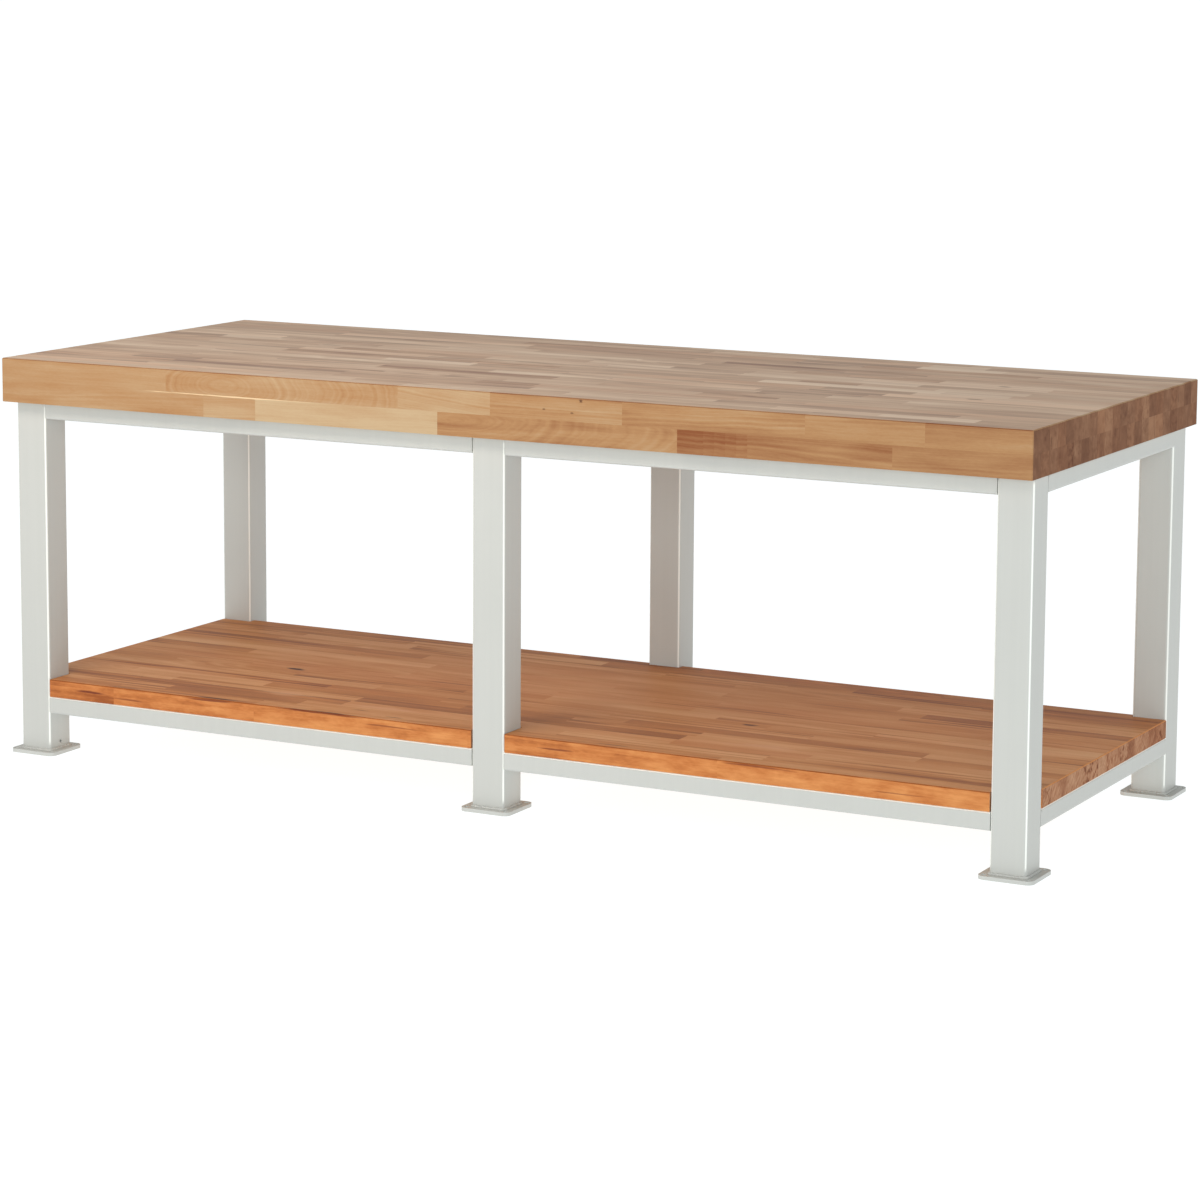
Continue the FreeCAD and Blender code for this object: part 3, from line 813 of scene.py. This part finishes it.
class GlueShelf(bpy.types.Operator):
    """Builds the notched shelf from glued beech staves"""

    bl_idname = "assembly_table.glue_shelf"
    bl_label = "Glue the shelf"

    def execute(self, context):
        looks = context.scene.table_looks
        colours, staves = looks.colours, looks.staves
        face = oiled_beech(
            "oiled_red_beech_face",
            (colours.shelf_dark, colours.shelf_middle, colours.shelf_light),
            staves.ring_width,
            specks=0.22,
            heart=0.45,
            marks=[("#3E1F12", SHELF_KNOTS), ("#E6B48C", SHELF_PALE_SPOTS)],
        )
        edge = oiled_beech(
            "oiled_red_beech_edge",
            (colours.shelf_edge_dark, colours.shelf_edge_middle, colours.shelf_edge_light),
            staves.ring_width,
            specks=0.45,
            heart=0.45,
            blotched=1.3,
            marks=[("#6A2A14", SHELF_EDGE_FLECKS)],
        )
        # the rays lean to the rear at this end of the shelf
        end = oiled_beech(
            "oiled_red_beech_end_grain",
            (colours.shelf_end_dark, colours.shelf_end_middle, colours.shelf_end_light),
            staves.ring_width,
            end_grain=True,
            specks=1.15,
            heart=0.5,
            slant=math.radians(38),
            differing=0.45,
        )
        node, lengths = "shelf_board", (staves.shelf_shortest, staves.shelf_longest)
        lines, layout = staves_of_board(
            node, 37, staves.width, lengths, SHELF_FRONT_ROW, spread=0.20, heartwood=1.1
        )
        materials = (face, edge, end)
        glued_board("beech_staves_shelf", node, lines, layout, materials, "shelf_beech", (-0.55, 0.8))
        return {"FINISHED"}


class LayWelds(bpy.types.Operator):
    """Lays the rippled weld bead round the foot of each leg"""

    bl_idname = "assembly_table.lay_welds"
    bl_label = "Lay the welds"

    def execute(self, context):
        looks = context.scene.table_looks
        welds = looks.welds
        coat = powder_coat(looks.colours.coat, "powder_coat_over_weld", spatter=0.45)
        draw = random.Random(5)
        feet = [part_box(f"leg_{row}_{column}") for column, row in product(COLUMNS, ROWS)]
        beads = joined(*(self.bead(low, high, welds, draw) for low, high in feet))
        settle(mesh_object("weld_beads_at_feet", *beads, coat, smooth=True), "frame_paint", "foot_welds")
        return {"FINISHED"}

    def bead(self, low, high, welds, draw):
        """Points and faces of the bead round one foot: a quarter round that swells with each ripple."""
        behind, rounds, beats = 0.3 * MM, 6, 40
        path = foot_path((low + high) / 2, high.x - low.x, low.z)
        phase = draw.uniform(0, 1)
        swell = [draw.uniform(0.85, 1.15) for _ in range(beats)]
        verts, faces = [], []
        for point, outward, along in path:
            beat = along / welds.ripple + phase
            wave = 2 * math.pi * beat
            ripple = 1 + 0.10 * math.sin(wave) + 0.04 * math.sin(2.2 * wave)
            size = ripple * swell[int(beat) % beats]
            verts.append(point - outward * behind)
            for step in range(rounds + 1):
                turn = math.pi / 2 * step / rounds
                out = outward * (welds.width * size * math.cos(turn))
                verts.append(point + out + Vector((0, 0, welds.height * size * math.sin(turn))))
        width = rounds + 2
        for section in range(len(path)):
            here, there = section * width, (section + 1) % len(path) * width
            for step in range(width):
                following = (step + 1) % width
                faces.append((here + step, here + following, there + following, there + step))
        return verts, faces


def foot_path(centre, side, height, corner=0.007, step=0.0016):
    """Points round the rounded foot of a leg: the point, the direction out of the leg and the way along."""
    straight = side - 2 * corner
    arc = corner * math.pi / 2
    length = 4 * (straight + arc)
    count = round(length / step)
    path = []
    for index in range(count):
        along = length * index / count
        quarter, rest = divmod(along, straight + arc)
        if rest < straight:
            local, out = Vector((side / 2, rest - straight / 2, 0)), Vector((1, 0, 0))
        else:
            turn = (rest - straight) / corner
            out = Vector((math.cos(turn), math.sin(turn), 0))
            local = Vector((straight / 2, straight / 2, 0)) + out * corner
        rotation = Matrix.Rotation(quarter * math.pi / 2, 3, "Z")
        path.append((Vector((centre.x, centre.y, height)) + rotation @ local, rotation @ out, along))
    return path


class FitFasteners(bpy.types.Operator):
    """Fits the rail bolts with their washers, and the wood screws that hold the boards"""

    bl_idname = "assembly_table.fit_fasteners"
    bl_label = "Fit the fasteners"

    def execute(self, context):
        zinc = bpy.data.materials["zinc_plated_steel"]
        bolt_from_leg, lug_from_end, lug_middle, lug_thickness = 0.040, 0.250, 0.020, 0.006
        draw = random.Random(3)
        boards = {"upper": "worktop_screws", "lower": "shelf_screws"}
        bolts, screws = [], {node: [] for node in boards.values()}
        for level, row, bay in product(LEVELS, ROWS, BAYS):
            low_x, high_x, middle_z, face_y, inward, top_z = rail_inner_face(level, row, bay)
            for x in (low_x + bolt_from_leg, high_x - bolt_from_leg):
                bolts.append(seat_matrix(Vector((x, face_y, middle_z)), (0, inward, 0), draw.uniform(0, 1)))
            for x in (low_x + lug_from_end, high_x - lug_from_end):
                seat = Vector((x, face_y + inward * lug_middle, top_z - lug_thickness))
                screws[boards[level]].append(seat_matrix(seat, (0, 0, -1), draw.uniform(0, 1)))
        pieces = [
            ("rail_hexagon_bolts", bolt_form(), bolts, "rail_bolts"),
            ("rail_round_washers", washer_form(), bolts, "rail_washers"),
        ]
        for node, seats in screws.items():
            low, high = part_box(node)
            name = node.replace("_screws", "_hexagon_screws")
            pieces.append((name, screw_form(high.z - low.z), seats, node))
        for name, form, seats, node in pieces:
            settle(mesh_object(name, *placed_copies(form, seats), zinc), "zinc_fasteners", node)
        return {"FINISHED"}


class SetStage(bpy.types.Operator):
    """Sets the pale floor, the soft lights and the camera"""

    bl_idname = "assembly_table.set_stage"
    bl_label = "Set the stage"

    def execute(self, context):
        looks = context.scene.table_looks
        stage, scene = looks.stage, context.scene
        scene.view_settings.view_transform = "Standard"
        scene.view_settings.look = "None"

        # opal acrylic lit from below: even, matt and almost without shadow
        floor_material = new_material("opal_acrylic_studio_floor")
        tree = floor_material.node_tree
        place = add(tree, "ShaderNodeTexCoord").outputs["Object"]
        cloud = patterns(tree, place, {"cloud": ((0.6, 0.6, 0.6), 2)})["cloud"]
        rough = add(tree, "ShaderNodeMapRange", {"Value": cloud, "To Min": 0.75, "To Max": 0.85}).outputs[0]
        settings = {
            "Base Color": rgba(looks.colours.floor),
            "Roughness": rough,
            "Emission Color": rgba(linear("#FBFFFF")),
            "Emission Strength": stage.floor_glow,
        }
        surface = add(tree, "ShaderNodeBsdfPrincipled", settings)
        add(tree, "ShaderNodeOutputMaterial", {"Surface": surface.outputs["BSDF"]})
        reach, depth = 400.0, -0.0005
        square = ((-reach, -reach), (reach, -reach), (reach, reach), (-reach, reach))
        corners = [(x, y, depth) for x, y in square]
        mesh_object("studio_floor", corners, [(0, 1, 2, 3)], floor_material)

        # a bright wall in front of the table, a dimmer one behind it and a dimmer ceiling
        world = bpy.data.worlds.new("studio_room")
        world.use_nodes = True
        tree = world.node_tree
        tree.nodes.clear()
        direction = add(tree, "ShaderNodeTexCoord").outputs["Generated"]
        axes = add(tree, "ShaderNodeSeparateXYZ", {0: direction}).outputs
        round_room = {
            "Value": axes["Y"],
            "From Min": -0.7,
            "From Max": 0.7,
            "To Min": stage.front_wall,
            "To Max": stage.back_wall,
        }
        wall = add(tree, "ShaderNodeMapRange", round_room, interpolation_type="SMOOTHSTEP").outputs[0]
        fading = {"Value": axes["Z"], "From Max": 0.6, "To Min": wall, "To Max": stage.ceiling}
        strength = add(tree, "ShaderNodeMapRange", fading, interpolation_type="SMOOTHSTEP").outputs[0]
        light = add(tree, "ShaderNodeBackground", {"Color": rgba((1, 1, 1)), "Strength": strength})
        add(tree, "ShaderNodeOutputWorld", {"Surface": light.outputs["Background"]})
        scene.world = world

        self.softbox("overhead_softbox", (-1.1, -0.8, 4.4), (-0.2, 0.0, 0.6), (4.0, 2.0), stage.overhead)
        self.softbox("near_softbox", (-1.0, -2.4, 2.3), (-0.3, 0.0, 0.6), (2.0, 0.8), stage.near, "#FFF0E4")
        self.softbox("key_softbox", (4.4, -7.7, 2.2), (0.0, 0.0, 0.5), (3.3, 2.2), stage.key, "#EFFBFF")
        self.softbox("side_softbox", (7.0, 3.0, 1.3), (0.0, 0.0, 0.5), (3.0, 2.0), stage.side)
        self.softbox("rim_softbox", (5.3, -2.8, 1.3), (0.0, 0.0, 0.6), (0.35, 2.6), stage.rim)
        self.camera(scene, stage)
        return {"FINISHED"}

    def softbox(self, name, location, aim, size, power, hex_colour="#FFFFFF"):
        """Hangs one rectangular soft light that faces its aim."""
        light = bpy.data.lights.new(name, "AREA")
        light.shape, light.size, light.size_y, light.energy = "RECTANGLE", *size, power
        light.color = linear(hex_colour)
        holder = bpy.data.objects.new(name, light)
        holder.location = location
        holder.rotation_euler = (Vector(aim) - Vector(location)).to_track_quat("-Z", "Y").to_euler()
        bpy.context.scene.collection.objects.link(holder)

    def camera(self, scene, stage):
        """Stands to the right of the table's front and looks a little down on it."""
        place = Vector((3.7789, -7.1248, 1.8461))
        yaw, pitch, roll = math.radians(27.767), math.radians(7.938), math.radians(0.332)
        ahead = math.cos(pitch)
        forward = Vector((-math.sin(yaw) * ahead, math.cos(yaw) * ahead, -math.sin(pitch)))
        level = Vector((math.cos(yaw), math.sin(yaw), 0))
        upright = level.cross(forward)
        right = math.cos(roll) * level + math.sin(roll) * upright
        up = math.cos(roll) * upright - math.sin(roll) * level
        data = bpy.data.cameras.new("studio_camera")
        data.lens, data.sensor_width, data.sensor_fit = stage.lens, 36.0, "HORIZONTAL"
        data.shift_y = -0.12
        data.clip_end = 1000
        camera = bpy.data.objects.new("studio_camera", data)
        camera.matrix_world = Matrix.Translation(place) @ Matrix((right, up, -forward)).transposed().to_4x4()
        scene.collection.objects.link(camera)
        scene.camera = camera


OPERATORS = (CoatFrame, GlueWorktop, GlueShelf, LayWelds, FitFasteners, SetStage)


class TablePanel(bpy.types.Panel):
    """Lists the steps that dress the table, and their sizes and colours"""

    bl_idname = "VIEW3D_PT_assembly_table"
    bl_label = "Assembly table"
    bl_space_type = "VIEW_3D"
    bl_region_type = "UI"
    bl_category = "Assembly table"

    def draw(self, context):
        looks = context.scene.table_looks
        for step in OPERATORS:
            self.layout.operator(step.bl_idname, text=step.bl_label)
        for group in (looks.staves, looks.welds, looks.stage, looks.colours):
            box = self.layout.box()
            for name in group.__annotations__:
                box.prop(group, name)


CLASSES = (TableStaves, TableColours, TableWelds, TableStage, TableLooks, *OPERATORS, TablePanel)


def register():
    for item in CLASSES:
        bpy.utils.register_class(item)
    bpy.types.Scene.table_looks = bpy.props.PointerProperty(type=TableLooks)


def unregister():
    del bpy.types.Scene.table_looks
    for item in reversed(CLASSES):
        bpy.utils.unregister_class(item)


def main():
    register()
    bpy.ops.assembly_table.coat_frame()
    bpy.ops.assembly_table.glue_worktop()
    bpy.ops.assembly_table.glue_shelf()
    bpy.ops.assembly_table.lay_welds()
    bpy.ops.assembly_table.fit_fasteners()
    bpy.ops.assembly_table.set_stage()
    bpy.context.view_layer.update()


if __name__ == "__main__":
    main()
